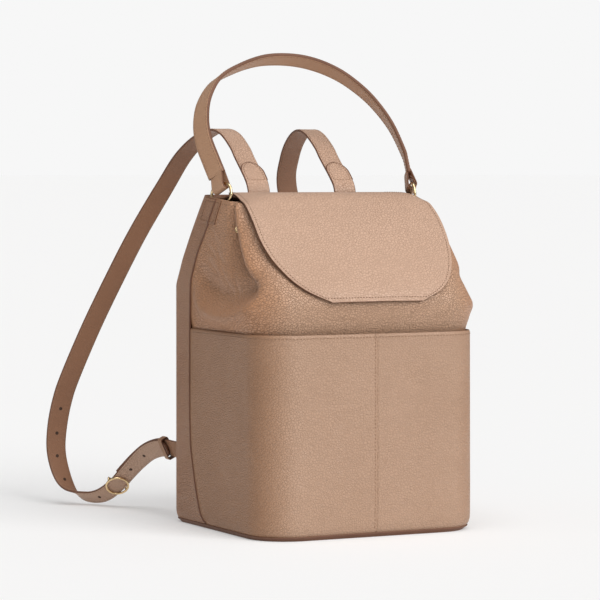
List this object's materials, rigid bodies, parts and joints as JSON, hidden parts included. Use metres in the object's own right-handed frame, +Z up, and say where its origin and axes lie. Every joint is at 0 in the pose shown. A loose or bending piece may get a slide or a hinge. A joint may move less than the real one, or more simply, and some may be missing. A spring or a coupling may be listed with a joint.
{
  "type": "leather backpack",
  "caption": "Boxy leather backpack with a fold-over flap, drawn-in side pleats, a front slip pocket, a looped top handle on wire rings and buckled shoulder straps.",
  "frame": {"origin": "centre of the bag's base, on the floor", "axes": "+X to the bag's right as seen from the front, +Y from the front towards the back panel and the wearer, +Z up"},
  "size_m": [0.346, 0.3902, 0.452],
  "materials": {
    "leather": "pebbled, satin",
    "leather_shadow": "pebbled, satin, waxed edge",
    "brass": "polished",
    "lining_cotton": "matte woven",
    "flap_suede": "matte suede",
    "stiffener": "matte"
  },
  "bodies": {
    "bag": {"base_panel": "leather_shadow", "base_board": "stiffener", "front_wrap": "leather", "back_wrap": "leather", "back_padding": "stiffener", "pocket_left": "leather", "pocket_right": "leather", "side_piping_left": "leather_shadow", "side_piping_right": "leather_shadow", "rim_facing": "leather", "lining": "lining_cotton", "laptop_sleeve": "lining_cotton", "side_patch_left": "leather", "side_patch_right": "leather", "ring_tab_left": "leather", "ring_tab_right": "leather", "gusset_snap_left": "brass", "gusset_snap_right": "brass", "body_magnet": "brass", "strap_tab_left": "leather", "strap_tab_right": "leather", "shoulder_strap_left": "leather", "shoulder_strap_right": "leather", "lower_strap_left": "leather_shadow", "lower_strap_right": "leather_shadow", "lower_tab_left": "leather", "lower_tab_right": "leather", "buckle_left": "brass", "buckle_right": "brass"},
    "flap_top": {"flap_top": "leather"},
    "flap_front": {"flap_front": "leather", "flap_lining": "flap_suede", "flap_magnet": "brass"},
    "ring_left": {"handle_ring_left": "brass"},
    "ring_right": {"handle_ring_right": "brass"},
    "handle": {"top_handle": "leather", "handle_loop_left": "leather", "handle_loop_right": "leather"},
    "keeper_left": {"strap_keeper_left": "leather_shadow"},
    "keeper_right": {"strap_keeper_right": "leather_shadow"}
  },
  "joints": [
    {"name": "flap_lift", "type": "hinge", "parent": "bag", "child": "flap_top", "pos_m": [0, 0.037, 0.3155], "axis": [-1, 0, 0], "range_deg": [0, 50]},
    {"name": "flap_fold", "type": "hinge", "parent": "flap_top", "child": "flap_front", "pos_m": [0, -0.013, 0.3166], "axis": [-1, 0, 0], "range_deg": [0, 60]},
    {"name": "ring_left_swing", "type": "hinge", "parent": "bag", "child": "ring_left", "pos_m": [0, 0.0125, 0.306], "axis": [-1, 0, 0], "range_deg": [-12, 5]},
    {"name": "ring_right_swing", "type": "hinge", "parent": "bag", "child": "ring_right", "pos_m": [0, 0.0125, 0.306], "axis": [-1, 0, 0], "range_deg": [-12, 5]},
    {"name": "handle_swing", "type": "hinge", "parent": "ring_left", "child": "handle", "pos_m": [0, 0.01742, 0.32435], "axis": [-1, 0, 0], "range_deg": [-20, 3]},
    {"name": "keeper_left_slide", "type": "slide", "parent": "bag", "child": "keeper_left", "axis": [0.0503, -0.9987, -0.0084], "range_m": [-0.003, 0.003]},
    {"name": "keeper_right_slide", "type": "slide", "parent": "bag", "child": "keeper_right", "axis": [-0.0503, -0.9987, -0.0084], "range_m": [-0.003, 0.003]}
  ],
  "couplings": [
    {"joint": "ring_right_swing", "follows": "ring_left_swing", "ratio": 1}
  ]
}
